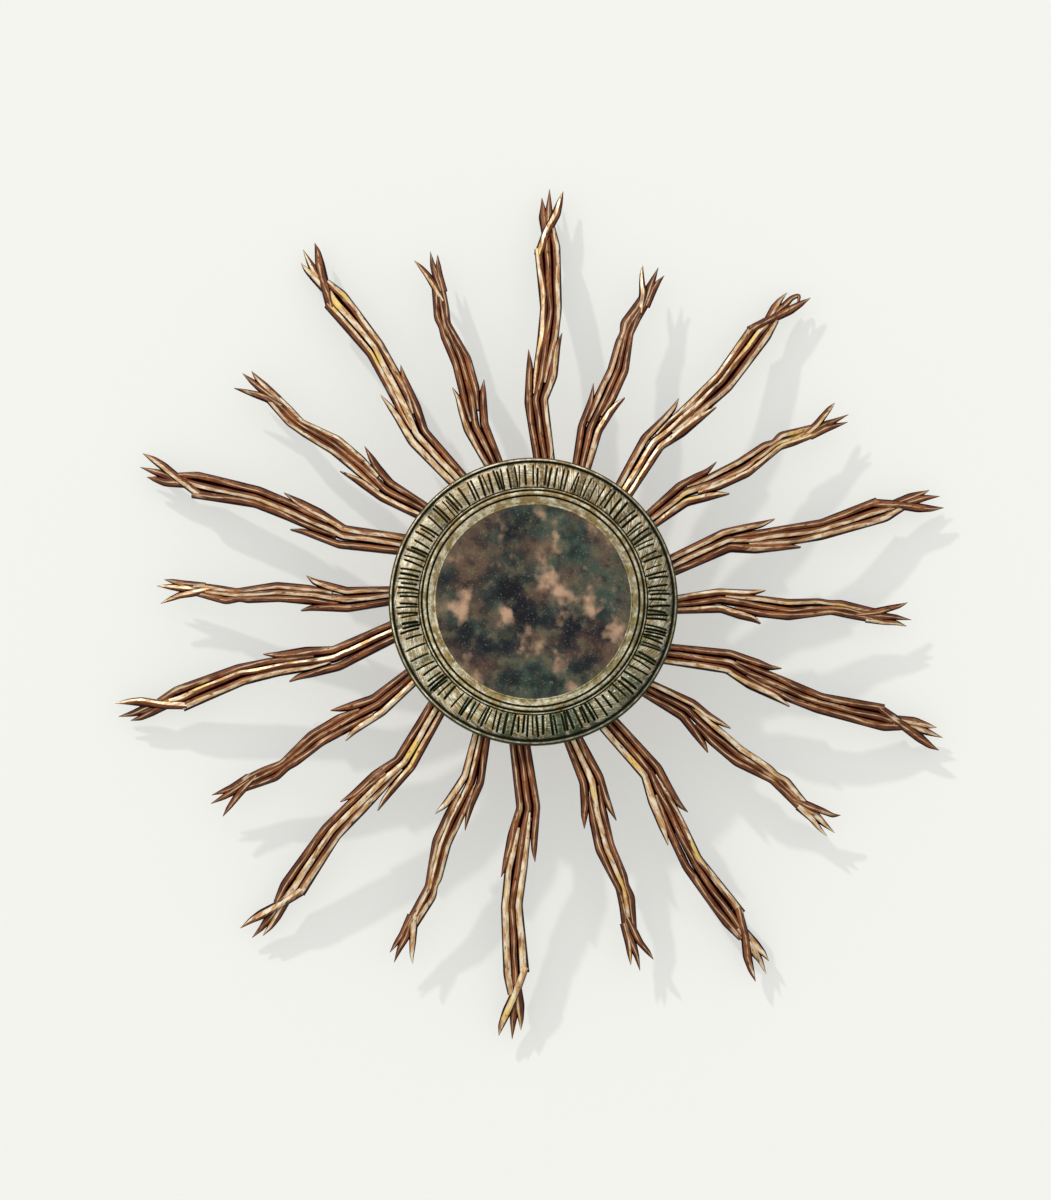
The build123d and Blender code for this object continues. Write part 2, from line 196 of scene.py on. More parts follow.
# Pale rows: paint rubbed back on the lip and the bead crests. The cove is partly rubbed back and partly
# painted highlight, and two rim rows are painted highlight.
moulding_rub_and_painted_highlight = {row: 1.0 for row in range(cove_start)}
moulding_rub_and_painted_highlight |= {cove_start + n: 0.62 + 0.05 * n for n in range(9)}
moulding_rub_and_painted_highlight |= {first_groove + 2 + n: 0.1 + 0.9 * sin(pi * n / 8) for n in range(9)}
moulding_rub_and_painted_highlight |= {second_groove + 2 + n: 0.3 + 0.6 * sin(pi * n / 4) for n in range(5)}
moulding_rub_and_painted_highlight |= {rim_start + 2: 0.7, rim_start + 3: 0.8}
# Dark rows beside the grooves and on the rim's inner half: the finish's glaze, deepened with painted shade.
moulding_glaze_and_shade = {first_groove + 2: 1.3, second_groove - 1: 1.3}
moulding_glaze_and_shade |= {rim_start: 1.2, rim_start + 1: 0.7, rim_start + 2: 0.2, rim_start + 3: 0.15}

# Each gouge cut: its turn in degrees, half its width, how deep it goes, the radii where it starts and ends,
# its slant, and the tone of the land after it
carver = random.Random(11)
gouge_cuts = []
last_turn = 358.6
cut_turn = 0.0
while cut_turn < last_turn:
    half = carver.uniform(0.5, 1.25)
    sink = carver.uniform(1.5, 3.0)
    inner = carver.choice([125.8, 126.0, 126.4, 127.5])
    outer = carver.choice([147.0, 149.0, 150.2, 150.8, 151.2])
    gouge_cuts.append((cut_turn, half, sink, inner, outer, carver.uniform(-0.9, 0.9), carver.random()))
    cut_turn += carver.choice([1.4, 1.8, 2.3, 2.9, 3.5, 4.3]) * carver.uniform(0.85, 1.15)

ring_steps = 1800
cut_reach = 3.2
cut_run_out = 1.6
land_reach = 2.5
land_rounding = 0.9
band_middle = 138
# The band's outer slope is sunk a little and given painted shade, growing towards its edge.
band_shoulder = 147
shoulder_width = 6
shoulder_sink_and_shade = 0.6
# The grooves hold the finish's dark glaze, deepened with painted shade.
groove_glaze_and_shade = 1.6
# The rim's outer wall and back are given painted shade.
side_shade = 0.6
full_glaze_and_shade = 1.5
# On the band the pale mark rises to a painted highlight just beside each cut and falls off to rubbed-back
# paint in the middle of the land.
cut_highlight_reach = 0.9
cut_highlight_fade = 0.14
ring_points = []
ring_marks = {"cut": [], "tone": [], "band": [], "rub_and_painted_highlight": [], "sweep": []}
for step in range(ring_steps):
    turn = 360 * step / ring_steps
    around = radians(turn)
    near = [((turn - cut[0] + 180) % 360 - 180, cut) for cut in gouge_cuts]
    near = [(off, cut) for off, cut in near if abs(off) < cut_reach]
    tone = max((cut for cut in gouge_cuts if cut[0] <= turn), key=lambda cut: cut[0])[6]
    for row, (radius, depth) in enumerate(ring_profile):
        plain_darkening = 0.0 if row < rim_start else side_shade
        deep = groove_glaze_and_shade if row in grooves else moulding_glaze_and_shade.get(row, plain_darkening)
        clear = land_reach
        on_band = band_start <= row < last_groove
        rub_and_painted_highlight = moulding_rub_and_painted_highlight.get(row, 0.2)
        if on_band:
            deep = shoulder_sink_and_shade * max(0.0, radius - band_shoulder) / shoulder_width
            for off, (_, half, sink, inner, outer, slant, _) in near:
                across = radians(off) * radius - slant * (radius - band_middle) / 10
                start = max(0.0, (radius - inner) / cut_run_out)
                ends = min(1.0, start, max(0.0, (outer - radius) / cut_run_out))
                deep = max(deep, max(0.0, 1 - (across / half) ** 2) * ends * sink)
                clear = min(clear, max(0.0, abs(across) - half) + land_reach * (1 - ends))
            depth -= deep + land_rounding * (1 - clear / land_reach) ** 2
            rub_and_painted_highlight = min(1.0, clear / cut_highlight_reach) - cut_highlight_fade * clear
        wave = noise.noise(Vector((4 * sin(around), 4 * cos(around), radius / 6)))
        nick = noise.noise(Vector((60 * sin(around), 60 * cos(around), radius / 2)))
        radius += 0.12 * wave
        depth += 0.12 * wave + 0.16 * nick if row < rim_start + 8 else 0.0
        ring_points.append((radius * sin(around), -depth, radius * cos(around)))
        ring_marks["cut"].append(min(1.0, deep / full_glaze_and_shade))
        ring_marks["tone"].append(tone)
        ring_marks["sweep"].append((around * radius / 1000, 0.0, radius / 1000))
        ring_marks["band"].append(1.0 if on_band else 0.0)
        ring_marks["rub_and_painted_highlight"].append(rub_and_painted_highlight)
rows = len(ring_profile)
ring_faces = []
for step in range(ring_steps):
    here = step * rows
    there = (step + 1) % ring_steps * rows
    for row in range(rows):
        after = (row + 1) % rows
        ring_faces.append((here + row, here + after, there + after, there + row))

green = Finish(bpy.data.materials.new("green_glazed_wood"))
spot = green.place()
sideways = green.node("SeparateXYZ", {}, {0: spot}, 0)
height = green.node("SeparateXYZ", {}, {0: spot}, 2)
broad = green.cloud(spot, 30, 4.0)
fine = green.cloud(spot, 2.6, 4.0)
# Tan towards the top and dark green towards the bottom: partly the patina's own change, partly painted light
# from above.
upward = green.between(height + 0.16 * (broad - 0.5), -0.12, 0.17)
body = green.mix(upward, paint(64, 78, 44), paint(128, 106, 68))
body = green.mix(green.between(broad, 0.5, 0.72) * 0.8, body, paint(40, 60, 38))
# Painted shade: darker green on the lower right, the side away from the lamp.
painted_shade_lower_right = green.between(sideways - 0.4 * height + 0.14 * (broad - 0.5), -0.1, 0.15)
body = green.mix(painted_shade_lower_right * 0.5, body, paint(40, 56, 36))
scratch = green.cloud(green.stretch(green.mark("sweep", "Vector"), 1.0, 1.0, 0.14), 1.7, 2.0)
band = green.mark("band")
rub_and_painted_highlight = green.mark("rub_and_painted_highlight")
tone = green.mark("tone")
# Pale gesso where paint is rubbed back, with the painted highlights beside the cuts, in the cove and on the
# rim.
wear_and_highlight = green.between(rub_and_painted_highlight + 0.9 * (fine - 0.5) + 0.7 * (tone - 0.5) * band, 0.26, 0.72)
creamy = green.between(green.cloud(spot, 12, 3.0), 0.4, 0.62)
pale = green.mix(creamy, paint(178, 154, 102), paint(250, 240, 206))
gilded = green.between(green.cloud(spot, 7, 2.0), 0.54, 0.66) * (0.2 + 0.55 * band)
pale = green.mix(gilded, pale, paint(204, 154, 82))
# The pale wear is painted brighter on the upper left and dimmer on the lower right, as light and shade.
wear_with_painted_light = wear_and_highlight * (1.2 - 0.6 * painted_shade_lower_right)
streak = green.between(green.cloud(spot, 5, 3.0), 0.36, 0.62)
body = green.mix(wear_with_painted_light * (0.45 + 0.5 * streak), body, pale)
dark_scratch = green.between(scratch, 0.54, 0.64) * band * 0.75
body = green.mix(dark_scratch, body, paint(24, 30, 16))
# Painted highlights: near-white streaks across the band.
painted_highlight_streaks = green.between(1 - scratch, 0.55, 0.64) * wear_with_painted_light * band
body = green.mix(painted_highlight_streaks, body, paint(255, 250, 228))
groove = green.mark("cut")
# Near black in the cuts and grooves: the finish's glaze deepened with painted shade, and painted shade on the
# band's outer slope and the rim's outer wall.
glaze_and_shade = green.between(groove + 0.4 * (fine - 0.5), 0.16, 0.52)
body = green.mix(glaze_and_shade * 0.97, body, paint(15, 19, 10))
specks = green.between(green.cloud(spot, 1.3, 1.0), 0.62, 0.7)
body = green.mix(specks * 0.75, body, paint(34, 36, 22))
green_wood = green.lay(
    {
        "Base Color": body,
        "Roughness": 0.28 + 0.3 * fine,
        "Specular IOR Level": 0.15,
        "Coat Weight": 0.2 - 0.2 * glaze_and_shade,
        "Coat Roughness": 0.12,
        "Normal": green.relief(fine + 0.5 * broad, 0.5),
    }
)
ring = carve("carved_ring_gouged", ring_points, ring_faces, ring_marks, green_wood, 35)
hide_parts("carved_ring")
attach(ring, "mirror")


# Mirror glass: a flat plate silvered on its back a long time ago, which has flaked at the edge. Its dark,
# cloudy colour with brown and tan blotches is a painted reflection of a dark room, laid into the silvering's
# colour. The ring's lip holds it from the front.
silver = Finish(bpy.data.materials.new("silvering_with_painted_reflection"))
spot = silver.place()
# Clouds, haze, mottle and blotches lay a painted reflection of a dark room into the silvering's colour; the
# flaking edge and the specks of dust are the plate's own.
clouds = silver.cloud(spot, 70, 5.0)
haze = silver.cloud(silver.stretch(spot, 1.0, 1.0, 1.3), 48, 6.0)
blotches = silver.cloud(silver.stretch(spot, 1.2, 1.0, 1.0), 34, 7.0)
dust = silver.cloud(spot, 1.8, 3.0)
shade = silver.mix(silver.between(clouds, 0.34, 0.66), paint(15, 18, 30), paint(58, 78, 66))
shade = silver.mix(silver.between(haze, 0.4, 0.66) * 0.85, shade, paint(98, 74, 58))
mottle = silver.cloud(spot, 15, 7.0)
shade = silver.mix(silver.between(mottle, 0.5, 0.62) * 0.55, shade, paint(16, 19, 27))
shade = silver.mix(silver.between(1 - mottle, 0.52, 0.68) * 0.45, shade, paint(116, 108, 80))
# Pale tan patches of the painted reflection.
pale_painted_reflection = silver.between(blotches + 0.25 * (mottle - 0.5), 0.53, 0.74)
shade = silver.mix(pale_painted_reflection * 0.85, shade, paint(202, 164, 132))
shade = silver.mix(silver.between(1 - haze, 0.54, 0.7) * 0.8, shade, paint(16, 13, 16))
flat = silver.stretch(spot, 1.0, 0.0, 1.0)
reach = silver.node("VectorMath", {"operation": "LENGTH"}, {0: flat}, "Value")
flaking_start = 0.098
flaking_end = 0.109
flaking = silver.between(reach + 0.05 * (blotches - 0.5), flaking_start, flaking_end)
shade = silver.mix(flaking * 0.2, shade, paint(116, 102, 84))
shade = silver.mix(silver.between(dust, 0.6, 0.72) * 0.4, shade, paint(146, 140, 124))
shade = silver.mix(silver.between(1 - dust, 0.6, 0.72) * 0.5, shade, paint(18, 18, 20))
silvered = silver.lay(
    {
        "Base Color": shade,
        "Metallic": 0.96,
        "Roughness": 0.16 + 0.2 * blotches,
        "Coat Weight": 0.25,
        "Coat Roughness": 0.03,
    }
)


def dress(node, material):
    """Gives a solid that keeps its own shape its finish."""
    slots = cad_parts[node].data.materials
    slots.clear()
    slots.append(material)


dress("mirror_glass", silvered)


# Backing board: thin brown hardboard, smooth on its face, cut to the same round as the glass. It lies behind
# the glass in the ring's rebate.
board = Finish(bpy.data.materials.new("bare_hardboard"))
spot = board.place()
fibres = board.cloud(spot, 1.6, 5.0)
stains = board.cloud(spot, 40, 3.0)
shade = board.mix(fibres, paint(86, 58, 38), paint(126, 92, 62))
shade = board.mix(board.between(stains, 0.5, 0.7) * 0.5, shade, paint(70, 48, 34))
dress(
    "backing_board",
    board.lay({"Base Color": shade, "Roughness": 0.72, "Normal": board.relief(fibres, 0.25)}),
)


# Glazing points and screws: small plain steel hardware. The points are pushed into the rebate's wall behind
# the board, and the screws hold the rays, the ring and the drum to the disc.
steel = Finish(bpy.data.materials.new("plain_steel"))
spot = steel.place()
brushed = steel.cloud(spot, 1.2, 4.0)
rust = steel.between(steel.cloud(spot, 5, 4.0), 0.56, 0.7)
shade = steel.mix(brushed, paint(150, 148, 144), paint(196, 194, 188))
shade = steel.mix(rust * 0.6, shade, paint(112, 74, 50))
hardware = steel.lay(
    {
        "Base Color": shade,
        "Metallic": 0.95 - 0.6 * rust,
        "Roughness": 0.3 + 0.3 * brushed,
        "Normal": steel.relief(brushed, 0.06),
    }
)
for node in ("glazing_points", "ray_screws", "ring_screws", "drum_screws"):
    dress(node, hardware)


# Ray disc: a ring of birch plywood behind the carved ring, with a pocket milled for the tongue of each ray.
# Its edge shows the layers.
ply = Finish(bpy.data.materials.new("bare_plywood"))
spot = ply.place()
layer = ply.node("SeparateXYZ", {}, {0: spot}, 1)
layer_pair = 0.0036
waves = ply.node("Math", {"operation": "SINE"}, {0: layer * (2 * pi / layer_pair)})
stripes = ply.between(waves, -0.3, 0.3)
veneer = ply.cloud(ply.stretch(spot, 0.12, 1.0, 1.0), 5, 5.0)
shade = ply.mix(stripes, paint(150, 112, 72), paint(196, 164, 118))
shade = ply.mix(ply.between(veneer, 0.35, 0.7) * 0.6, shade, paint(128, 92, 58))
dress(
    "ray_disc",
    ply.lay({"Base Color": shade, "Roughness": 0.62, "Normal": ply.relief(veneer, 0.2)}),
)


# Standoff drum: a turned ring of beech, stained brown, which holds the disc off the wall. Six long screws
# from the front hold it.
drum = Finish(bpy.data.materials.new("stained_turned_wood"))
spot = drum.place()
flat = drum.stretch(spot, 1.0, 0.0, 1.0)
reach = drum.node("VectorMath", {"operation": "LENGTH"}, {0: flat}, "Value")
grain = drum.cloud(drum.stretch(spot, 0.1, 1.0, 1.0), 4, 5.0)
tool_pitch = 0.0022
turning = drum.node("Math", {"operation": "SINE"}, {0: reach * (2 * pi / tool_pitch)})
shade = drum.mix(grain, paint(92, 62, 40), paint(150, 110, 74))
shade = drum.mix(drum.between(drum.cloud(spot, 30, 3.0), 0.5, 0.75) * 0.5, shade, paint(74, 50, 34))
dress(
    "standoff_drum",
    drum.lay(
        {
            "Base Color": shade,
            "Roughness": 0.45 + 0.25 * grain,
            "Normal": drum.relief(turning + 2.0 * grain, 0.1),
        }
    ),
)


# Long rays: ten bundles of reeds carved from one plank each, which kink, throw a leaf to either side and end
# in three prongs. They are gilded over dark red bole and worn. A tongue at the root sits in its pocket of the
# disc, with a screw from behind.
rim = 159.0
root = 153.0
root_front = 79.8
root_thickness = 16.0
neck_thickness = 12.0
tip_thickness = 1.6
tongue_inner = 112.0
pocket_back = 70.0
tongue_thickness = 9.8
reed_step = 3.2
lift_run = 22
deepest_relief = 5.4
# The backs take a low crest mark, which puts them in the painted groove shade, so they come out nearly black.
back_crest = 0.34
back_leafing = 0.1
facets = [(-1, share, high) for share, high in ((0.0, 0.0), (0.24, 0.36), (0.42, 0.74), (1.0, 1.0))]
facets += [(1, share, high) for _, share, high in reversed(facets)]


class Shape:
    """Mesh of one ray while it is carved: points, faces and marks."""

    def __init__(self, turn, lean, longer, stations, neck, neck_depth, tip_depth, bow, seed):
        self.turn = radians(turn)
        self.lean = radians(lean)
        self.longer = 1 + longer / 100
        self.stations = stations
        self.neck = neck
        self.neck_front = neck_depth + neck_thickness / 2
        self.tip_front = tip_depth + tip_thickness / 2
        self.bow = bow
        self.seed = seed
        self.hand = random.Random(seed)
        self.points = []
        self.faces = []
        self.crest = []
        self.grain = []
        self.leafing = []

    def outward(self, along):
        """Distance from the mirror's axis of a mark that counts in stations."""
        n = min(int(along), len(self.stations) - 2)
        return self.stations[n] + (along - n) * (self.stations[n + 1] - self.stations[n])

    def front(self, outward):
        """Depth of the ray's front at that distance, and its thickness there."""
        if outward > self.neck:
            t = min(1.0, (outward - self.neck) / (self.stations[-1] - self.neck))
            front = self.neck_front + t * (self.tip_front - self.neck_front)
            return front, neck_thickness + t * (tip_thickness - neck_thickness)
        t = (outward - root) / (self.neck - root)
        front = root_front + t * (self.neck_front - root_front) + 4 * self.bow * t * (1 - t)
        return front, root_thickness + t * (neck_thickness - root_thickness)

    def add(self, side, outward, depth, crest, leafing):
        """Adds a point of the ray where it belongs on the mirror."""
        self.leafing.append(leafing)
        self.grain.append((side / 1000, outward / 1000, self.seed * 0.37))
        self.crest.append(crest)
        beyond = (outward - rim) * (self.longer if outward > rim else 1.0)
        across = side * cos(self.lean) + beyond * sin(self.lean)
        out = rim + beyond * cos(self.lean) - side * sin(self.lean)
        x = out * sin(self.turn) + across * cos(self.turn)
        z = out * cos(self.turn) - across * sin(self.turn)
        self.points.append((x, -depth, z))
        return len(self.points) - 1

    def reed(self, marks, lift=0.0):
        """One reed along its marks: sideways, along in stations, and half its width."""
        line = []
        for n, (side, along, half) in enumerate(marks):
            ends = n in (0, len(marks) - 1)
            loose = 0.5 if ends and half > 1 else 0.9
            line.append(
                Vector(
                    (
                        side + self.hand.uniform(-loose, loose),
                        self.outward(along) + (0 if along < 0.1 else self.hand.uniform(-2, 2)),
                        half * self.hand.uniform(0.93, 1.07),
                    )
                )
            )
        path = [line[0]]
        for start, end in zip(line, line[1:]):
            count = max(2, ceil(hypot(end.x - start.x, end.y - start.y) / reed_step))
            path += [start.lerp(end, n / count) for n in range(1, count + 1)]
        eased = [(a + 2 * b + c) / 4 for a, b, c in zip(path, path[1:], path[2:])]
        path = [path[0], *eased, path[-1]]
        sink = self.hand.uniform(0.0, 0.6)
        own = self.hand.uniform(0, 50)
        gilding = [self.hand.choice([0.0, 0.05, 0.2, 0.95]) for _ in range(2)]
        rings = []
        for n, spot in enumerate(path):
            ahead = path[min(n + 1, len(path) - 1)] - path[max(n - 1, 0)]
            run = hypot(ahead.x, ahead.y)
            across = (ahead.y / run, -ahead.x / run)
            front, thick = self.front(spot.y)
            rise = lift * min(1.0, n * reed_step / lift_run)
            relief = min(deepest_relief, 1.3 * spot.z, 0.66 * thick)
            lean = 0.55 * noise.noise(Vector((own, spot.y / 32, 0.3)))
            chop = 0.6 * noise.noise(Vector((own, spot.y / 18, 7.7)))
            ring = []
            for edge, share, high in facets:
                ridge = lean + 0.03 * edge
                p = edge + (ridge - edge) * share
                nick = 0.3 * noise.noise(Vector((own + edge, spot.y / 6, share * 3)))
                depth = front + rise + chop - relief * (1 - high) + nick * min(1.0, relief / 3)
                half = spot.z * p
                wear = noise.noise(Vector((own + 3 * edge, spot.y / 24, 2)))
                leafing = gilding[0 if edge < 0 else 1] + 0.7 * wear
                x, y = spot.x + across[0] * half, spot.y + across[1] * half
                ring.append(self.add(x, y, depth, high, leafing))
            back = front - thick + sink + rise * 0.6
            for p in (0.9, -0.9):
                half = spot.z * p
                x, y = spot.x + across[0] * half, spot.y + across[1] * half
                ring.append(self.add(x, y, back, back_crest, back_leafing))
            rings.append(ring)
        for here, there in zip(rings, rings[1:]):
            for n in range(len(here)):
                m = (n + 1) % len(here)
                self.faces.append((here[n], here[m], there[m], there[n]))
        self.faces.append(tuple(rings[0]))
        self.faces.append(tuple(reversed(rings[-1])))

    def tongue(self, side, width):
        """The flat tongue at the root, let into the disc."""
        corners = []
        for outward in (tongue_inner + 0.2, root + 1.5):
            for depth in (pocket_back, pocket_back + tongue_thickness):
                for p in (-0.5, 0.5):
                    corners.append(self.add(side + p * width, outward, depth, 0.5, back_leafing))
        a, b, c, d, e, f, g, h = corners
        self.faces += [(a, b, d, c), (e, g, h, f), (a, e, f, b), (c, d, h, g), (a, c, g, e), (b, f, h, d)]

    def cut(self, name, material):
        """The finished ray as a piece."""
        marks = {"crest": self.crest, "grain": self.grain, "leafing": self.leafing}
        return carve(name, self.points, self.faces, marks, material, 24)


gilt = Finish(bpy.data.materials.new("worn_gilding_over_bole"))
crest = gilt.mark("crest")
grain = gilt.mark("grain", "Vector")
long_grain = gilt.cloud(gilt.stretch(grain, 1.0, 0.1, 1.0), 2.6, 5.0)
patch = gilt.cloud(grain, 26, 3.0)
fine = gilt.cloud(grain, 2.4, 4.0)
wood = gilt.mix(gilt.between(patch, 0.35, 0.65), paint(94, 52, 30), paint(146, 90, 54))
wood = gilt.mix(gilt.between(long_grain, 0.45, 0.75) * 0.65, wood, paint(72, 34, 20))
leafing = gilt.mark("leafing")
level = leafing + 0.9 * (long_grain - 0.5) + 0.5 * (patch - 0.5)
leaf = gilt.between(level, 0.3, 0.85)
pale_gold = gilt.between(gilt.cloud(gilt.stretch(grain, 1.0, 0.3, 1.0), 5, 3.0), 0.35, 0.65)
gold = gilt.mix(pale_gold, paint(204, 152, 92), paint(255, 242, 212))
shade = gilt.mix(leaf * 0.88, wood, gold)
rubbed = gilt.between(crest + 0.3 * (long_grain - 0.5), 0.92, 1.04)
shade = gilt.mix(rubbed * 0.7, shade, paint(246, 218, 176))
bright = gilt.between(gilt.cloud(grain, 60, 2.0), 0.58, 0.66) * leaf
shade = gilt.mix(bright * 0.75, shade, paint(238, 204, 106))
bole = 1 - gilt.between(crest + 0.3 * (long_grain - 0.5), 0.5, 0.82)
shade = gilt.mix(bole, shade, paint(88, 24, 14))
# Painted shade: near black on the reeds' low edges, where they meet in V-grooves and at the ray's outline.
painted_groove_shade = 1 - gilt.between(crest + 0.25 * (fine - 0.5), 0.34, 0.62)
shade = gilt.mix(painted_groove_shade, shade, paint(22, 4, 2))
streaks = gilt.cloud(gilt.stretch(grain, 1.0, 0.2, 1.0), 1.5, 2.0)
holes = gilt.between(streaks + 0.25 * (patch - 0.5), 0.6, 0.7)
shade = gilt.mix(holes * 0.8, shade, paint(42, 16, 9))
gilt_wood = gilt.lay(
    {
        "Base Color": shade,
        "Metallic": leaf * 0.2,
        "Roughness": 0.5 - 0.16 * leaf,
        "Specular IOR Level": 0.1,
        "Normal": gilt.relief(long_grain + 0.3 * fine, 0.22),
    }
)

long_stations = [root, 227.0, 334.0, 409.0, 430.0, 480.0]
long_reeds = {
    "left": [(6.4, 0.0, 4.4), (-4.5, 0.98, 4.9), (-2.2, 1.27, 4.4), (-1.6, 1.42, 3.2), (-3.2, 1.54, 0.3)],
    "middle": [
        (13.8, 0.0, 4.3),
        (4.4, 1.0, 4.8),
        (11.2, 1.27, 4.8),
        (22.8, 2.0, 4.4),
        (19.8, 3.0, 5.2),
        (20.5, 4.1, 4.2),
    ],
    "right": [(20.8, 0.0, 4.3), (12.9, 1.0, 5.0), (21.8, 1.27, 6.0), (28.2, 1.55, 4.4), (35.0, 1.71, 0.3)],
    "inner_left": [
        (2.4, 1.06, 1.6),
        (4.6, 1.27, 3.4),
        (10.4, 1.62, 4.8),
        (15.2, 2.0, 4.9),
        (10.0, 2.98, 5.6),
    ],
    "inner_right": [
        (14.5, 1.2, 2.2),
        (19.5, 1.4, 3.8),
        (25.5, 1.64, 4.6),
        (30.4, 2.0, 4.8),
        (29.0, 3.0, 5.4),
        (24.0, 4.05, 4.4),
    ],
    "left_prong": [(18.0, 3.5, 4.4), (15.2, 4.3, 5.4), (14.6, 4.55, 3.4), (14.1, 4.78, 0.3)],
    "middle_prong": [(21.5, 3.6, 4.6), (20.8, 4.35, 5.6), (22.0, 4.65, 3.6), (24.0, 5.0, 0.3)],
}
crossing_reed = [(9.9, 2.9, 5.4), (20.0, 3.95, 5.0), (30.5, 4.42, 5.4), (35.5, 4.7, 3.6), (39.2, 4.97, 0.3)]
curled_prong = [
    (21.5, 3.6, 4.6),
    (20.5, 4.3, 4.8),
    (22.5, 4.72, 3.2),
    (27.5, 4.93, 2.3),
    (31.5, 4.8, 1.5),
    (33.0, 4.6, 0.3),
]
long_turns = [-0.1, 34.2, 70.4, 106.3, 143.5, 180.6, 217.7, 253.7, 289.3, 324.3]
long_leans = [-0.6, 4.1, 1.9, -2.1, 1.9, -1.0, -0.2, -1.8, -3.5, 0.4]
long_extra = [0.4, -1.7, -0.7, 0.8, 1.6, 0.0, 1.5, 0.2, -1.8, 2.8]
for number, (turn, lean, longer) in enumerate(zip(long_turns, long_leans, long_extra), start=1):
    ray = Shape(turn, lean, longer, long_stations, 409.0, 30.0, 15.0, 8.0, number)
    for name, marks in long_reeds.items():
        if name == "middle_prong" and number == 2:
            marks = curled_prong
        ray.reed(marks)
    ray.reed(crossing_reed, lift=3.4)
    ray.tongue(12.5, 20.0)
    piece = ray.cut(f"long_ray_{number:02d}", gilt_wood)
    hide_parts(f"large_ray_{number:02d}")
    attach(piece, "mirror")


# Short rays: ten more, carved and gilded in the same way, which narrow to a waist and end in three prongs
# with the left one crossing in front. They stand between the long ones.
short_stations = [root, 206.0, 329.0, 375.0, 419.0]
short_reeds = {
    "left": [(0.9, 0.0, 4.2), (-7.8, 1.0, 4.8), (-6.6, 1.2, 4.4), (-7.2, 1.31, 3.0), (-9.7, 1.42, 0.3)],
    "middle": [
        (7.4, 0.0, 3.8),
        (1.4, 1.0, 5.0),
        (7.6, 1.3, 4.4),
        (11.2, 1.62, 4.2),
        (7.4, 2.0, 3.4),
        (9.5, 2.3, 3.8),
        (14.5, 2.9, 3.8),
    ],
    "right": [(13.3, 0.0, 3.7), (10.5, 1.0, 4.8), (16.8, 1.19, 5.0), (21.5, 1.28, 3.6), (27.6, 1.37, 0.3)],
    "inner_left": [
        (-3.0, 1.06, 1.8),
        (0.2, 1.3, 4.4),
        (4.2, 1.6, 4.4),
        (2.4, 1.9, 4.4),
        (3.6, 1.98, 3.7),
        (2.4, 2.24, 4.6),
        (12.2, 3.0, 4.4),
    ],
    "inner_right": [
        (9.5, 1.14, 2.4),
        (14.6, 1.33, 4.7),
        (18.0, 1.62, 4.6),
        (11.8, 2.0, 3.4),
        (14.8, 2.4, 4.2),
        (19.4, 3.0, 4.4),
    ],
    "middle_prong": [(16.0, 2.8, 5.0), (16.8, 3.3, 5.0), (18.2, 3.62, 3.2), (19.8, 4.0, 0.3)],
    "right_prong": [(19.0, 2.8, 4.6), (21.6, 3.3, 4.0), (24.6, 3.58, 2.8), (27.7, 3.84, 0.3)],
}
crossing_prong = [(15.0, 2.6, 4.0), (12.0, 3.1, 4.6), (8.2, 3.4, 3.8), (4.2, 3.66, 2.6), (0.6, 3.88, 0.3)]
short_turns = [17.4, 52.3, 88.5, 124.7, 161.5, 198.7, 236.1, 270.6, 307.6, 342.1]
short_leans = [0.2, 5.5, 1.2, -0.6, -0.6, -0.2, -0.5, -0.1, -2.1, -1.5]
short_extra = [-1.7, 0.0, 2.2, 0.8, 0.5, 2.1, 1.4, 2.0, 2.1, 2.2]
for number, (turn, lean, longer) in enumerate(zip(short_turns, short_leans, short_extra), start=1):
    ray = Shape(turn, lean, longer, short_stations, 329.0, 46.0, 26.0, 5.0, 20 + number)
    for marks in short_reeds.values():
        ray.reed(marks)
    ray.reed(crossing_prong, lift=2.6)
    ray.tongue(6.0, 16.0)
    piece = ray.cut(f"short_ray_{number:02d}", gilt_wood)
    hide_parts(f"small_ray_{number:02d}")
    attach(piece, "mirror")


# Hanger: a strip of brass folded round the bar of a wire ring, held by two small screws in a recess of the
# drum's back edge. The ring swings up behind the disc and hangs on a wall hook.
brass = Finish(bpy.data.materials.new("dull_brass"))
spot = brass.place()
tarnish = brass.cloud(spot, 4, 4.0)
scratches = brass.cloud(brass.stretch(spot, 1.0, 1.0, 0.1), 0.8, 2.0)
shade = brass.mix(brass.between(tarnish, 0.4, 0.7), paint(206, 168, 96), paint(138, 104, 56))
dull = brass.lay(
    {
        "Base Color": shade,
        "Metallic": 0.9,
        "Roughness": 0.28 + 0.3 * tarnish,
        "Normal": brass.relief(scratches, 0.03),
    }
)
for node in ("hanger_strap", "hanger_screws", "hanging_ring"):
    dress(node, dull)


# Wall and floor of the studio: a pale painted wall that takes the mirror's soft shadows, and a pale floor far
# below it. Seen from behind, the wall is clear.
wall = Finish(bpy.data.materials.new("pale_wall"))
spot = wall.place()
skin = wall.cloud(spot, 2.5, 3.0)
paper = wall.mix(skin, paint(245, 245, 240), paint(248, 248, 244))
matt = wall.node("BsdfDiffuse", {}, {"Color": paper})
glow = wall.node("Emission", {}, {"Color": paint(236, 236, 232), "Strength": 0.85})
soft = wall.node("LightPath", {}, {}, "Is Diffuse Ray")
plain = wall.node("Emission", {}, {"Color": paint(245, 245, 240), "Strength": 1.0})
seen = wall.node("MixShader", {}, {0: 0.5, 1: matt, 2: plain})
front_side = wall.node("MixShader", {}, {0: soft, 1: seen, 2: glow})
behind = wall.node("NewGeometry", {}, {}, "Backfacing")
clear = wall.node("BsdfTransparent", {}, {})
both = wall.node("MixShader", {}, {0: behind, 1: front_side, 2: clear})
wall.node("OutputMaterial", {}, {"Surface": both})

